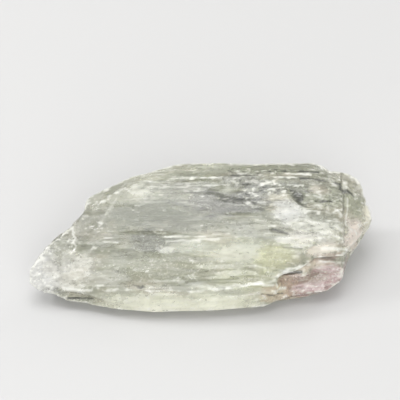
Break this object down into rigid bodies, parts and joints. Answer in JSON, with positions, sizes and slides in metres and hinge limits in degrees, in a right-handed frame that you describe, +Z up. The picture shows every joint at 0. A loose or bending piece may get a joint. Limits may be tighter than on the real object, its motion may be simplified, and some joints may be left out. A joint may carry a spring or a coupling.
{
  "type": "kunzite crystal",
  "caption": "Rough kunzite crystal: a flattened, striated prism with a pointed tip, a broken end, long ledges and a flat face to rest on.",
  "frame": {"origin": "on the resting plane, under the middle of the crystal's bounding box", "axes": "+X along the crystal's length and its striations, from the pointed tip to the broken end; +Y across it, from the low front to the high back; +Z up from the resting face, the shortest way through"},
  "size_m": [0.075, 0.0326, 0.0185],
  "materials": {
    "kunzite": "clear to cloudy pale grey-green crystal, vitreous, pink at one corner and frosted white at the tip"
  },
  "bodies": {
    "root": {"crystal": "kunzite"}
  },
  "joints": []
}
